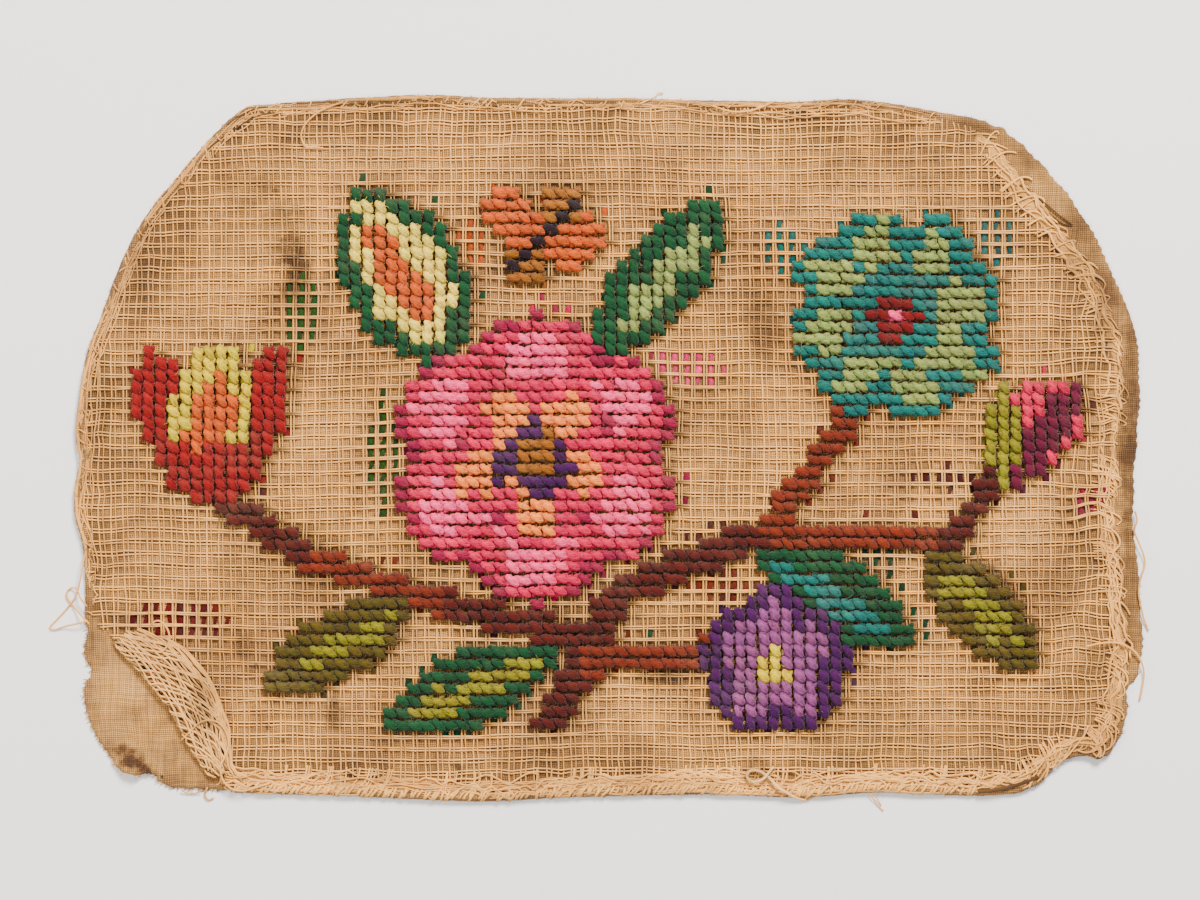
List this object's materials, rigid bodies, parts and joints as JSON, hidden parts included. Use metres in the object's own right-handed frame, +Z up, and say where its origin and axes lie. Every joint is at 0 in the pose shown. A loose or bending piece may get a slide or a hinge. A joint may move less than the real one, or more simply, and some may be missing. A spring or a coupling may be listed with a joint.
{
  "type": "needlework sampler",
  "caption": "Flat old needlework sampler panel with a rounded top: calico backing, open canvas face with one torn corner folded back, raised wool cross-stitch flowers.",
  "frame": {"origin": "middle of the panel's outline on the surface it lies on", "axes": "+X to the right across the panel's width, +Y towards its rounded top edge, +Z up out of the stitched face"},
  "size_m": [0.2994, 0.1979, 0.005],
  "materials": {
    "calico": "fine plain-weave cotton, aged tan with brown stains, matt",
    "canvas_thread": "open double-thread cotton canvas, pale cream threads over tan gaps, matt",
    "wool_brown": "soft twisted wool yarn in cross-stitch, matt with a faint fuzz",
    "wool_green": "soft twisted wool yarn in cross-stitch, matt with a faint fuzz",
    "wool_olive": "soft twisted wool yarn in cross-stitch, matt with a faint fuzz",
    "wool_gold": "soft twisted wool yarn in cross-stitch, matt with a faint fuzz",
    "wool_pink": "soft twisted wool yarn in cross-stitch, matt with a faint fuzz",
    "wool_teal": "soft twisted wool yarn in cross-stitch, matt with a faint fuzz",
    "wool_red": "soft twisted wool yarn in cross-stitch, matt with a faint fuzz",
    "wool_violet": "soft twisted wool yarn in cross-stitch, matt with a faint fuzz",
    "wool_crimson": "soft twisted wool yarn in cross-stitch, matt with a faint fuzz",
    "wool_orange": "soft twisted wool yarn in cross-stitch, matt with a faint fuzz"
  },
  "bodies": {
    "root": {"backing": "calico", "canvas": "canvas_thread", "wool_stems": "wool_brown", "wool_leaf_low": "wool_green", "wool_leaf_right": "wool_green", "wool_leaf_far": "wool_olive", "wool_leaf_left": "wool_olive", "wool_leaf_top": "wool_green", "wool_leaf_gold": "wool_gold", "wool_rose": "wool_pink", "wool_aster": "wool_teal", "wool_tulip": "wool_red", "wool_pansy": "wool_violet", "wool_bud": "wool_crimson", "wool_butterfly": "wool_orange"}
  },
  "joints": []
}
